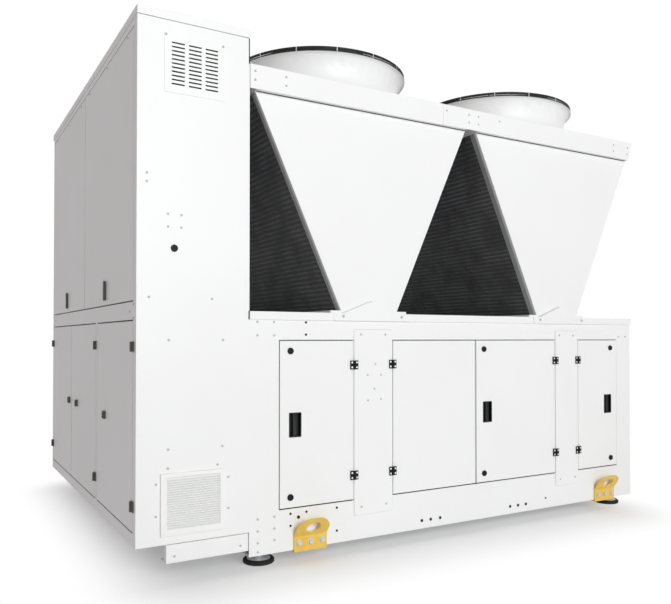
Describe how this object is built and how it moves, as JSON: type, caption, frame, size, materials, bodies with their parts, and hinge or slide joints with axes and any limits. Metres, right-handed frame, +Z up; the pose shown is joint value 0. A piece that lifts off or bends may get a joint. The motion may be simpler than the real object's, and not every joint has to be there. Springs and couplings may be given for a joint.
{
  "type": "air cooled water chiller",
  "caption": "Packaged air cooled water chiller: hollow base with hinged service doors, V-shaped coil modules under ducted fans, and a tall control cabinet across one end.",
  "frame": {"origin": "on the floor, under the middle of the machine's box", "axes": "+X along the machine from the control cabinet to the plain end, +Y from the front to the back, +Z up"},
  "size_m": [3.308, 2.4298, 2.624],
  "materials": {
    "white_sheet_steel": "white powder-coated sheet steel",
    "grey_floor_sheet": "light grey coated floor sheet",
    "black_fittings": "black glass-filled nylon",
    "grille_plastic": "off-white moulded ABS",
    "black_coil": "black epoxy coated coil",
    "galvanised_plate": "galvanised steel",
    "black_guard": "black coated wire",
    "dark_blades": "dark moulded fan blades",
    "motor_casing": "dark painted motor casing",
    "yellow_lug": "golden yellow paint",
    "black_rubber": "black moulded rubber"
  },
  "bodies": {
    "housing": {"bottom_rails": "white_sheet_steel", "bottom_end_rails": "white_sheet_steel", "base_floor": "grey_floor_sheet", "corner_posts": "white_sheet_steel", "door_posts": "white_sheet_steel", "post_plates": "white_sheet_steel", "header_rails": "white_sheet_steel", "deck_beams": "white_sheet_steel", "base_deck": "white_sheet_steel", "end_panel": "white_sheet_steel", "back_doors": "white_sheet_steel", "back_door_fittings": "black_fittings", "hinge_leaves": "black_fittings", "cabinet_front": "white_sheet_steel", "cabinet_back": "white_sheet_steel", "cabinet_inner_wall": "white_sheet_steel", "cabinet_floors": "grey_floor_sheet", "cabinet_roof": "white_sheet_steel", "end_frame": "white_sheet_steel", "upper_panels": "white_sheet_steel", "upper_panel_handles": "black_fittings", "vent_cover": "white_sheet_steel", "filter_grille": "grille_plastic", "cabinet_bearers": "white_sheet_steel", "coil_bank_1": "black_coil", "coil_bank_2": "black_coil", "coil_end_plates": "galvanised_plate", "v_end_panels": "white_sheet_steel", "v_plinths": "white_sheet_steel", "foot_gussets": "white_sheet_steel", "fan_deck_1": "white_sheet_steel", "fan_deck_2": "white_sheet_steel", "deck_joint_plates": "white_sheet_steel", "fan_shrouds": "white_sheet_steel", "fan_guards": "black_guard", "fan_rotors": "dark_blades", "fan_motors": "motor_casing", "lifting_lugs": "yellow_lug", "foot_rubbers": "black_rubber", "foot_cups": "galvanised_plate"},
    "front_door_1_leaf": {"front_door_1": "white_sheet_steel", "front_door_1_fittings": "black_fittings"},
    "front_door_2_leaf": {"front_door_2": "white_sheet_steel", "front_door_2_fittings": "black_fittings"},
    "front_door_3_leaf": {"front_door_3": "white_sheet_steel", "front_door_3_fittings": "black_fittings"},
    "front_door_4_leaf": {"front_door_4": "white_sheet_steel", "front_door_4_fittings": "black_fittings"},
    "end_door_1_leaf": {"end_door_1": "white_sheet_steel", "end_door_1_fittings": "black_fittings"},
    "end_door_2_leaf": {"end_door_2": "white_sheet_steel", "end_door_2_fittings": "black_fittings"},
    "end_door_3_leaf": {"end_door_3": "white_sheet_steel", "end_door_3_fittings": "black_fittings"}
  },
  "joints": [
    {"name": "front_door_1_hinge", "type": "hinge", "parent": "housing", "child": "front_door_1_leaf", "pos_m": [-0.53, -1.15, 0.675], "axis": [0, 0, 1], "range_deg": [0, 95]},
    {"name": "front_door_2_hinge", "type": "hinge", "parent": "housing", "child": "front_door_2_leaf", "pos_m": [-0.292, -1.15, 0.675], "axis": [0, 0, -1], "range_deg": [0, 95]},
    {"name": "front_door_3_hinge", "type": "hinge", "parent": "housing", "child": "front_door_3_leaf", "pos_m": [0.922, -1.15, 0.675], "axis": [0, 0, 1], "range_deg": [0, 95]},
    {"name": "front_door_4_hinge", "type": "hinge", "parent": "housing", "child": "front_door_4_leaf", "pos_m": [1.12, -1.15, 0.675], "axis": [0, 0, -1], "range_deg": [0, 95]},
    {"name": "end_door_1_hinge", "type": "hinge", "parent": "housing", "child": "end_door_1_leaf", "pos_m": [-1.648, -1.089, 0.7045], "axis": [0, 0, 1], "range_deg": [0, 95]},
    {"name": "end_door_2_hinge", "type": "hinge", "parent": "housing", "child": "end_door_2_leaf", "pos_m": [-1.648, -0.306, 0.7045], "axis": [0, 0, 1], "range_deg": [0, 95]},
    {"name": "end_door_3_hinge", "type": "hinge", "parent": "housing", "child": "end_door_3_leaf", "pos_m": [-1.648, 1.107, 0.7045], "axis": [0, 0, -1], "range_deg": [0, 95]}
  ]
}
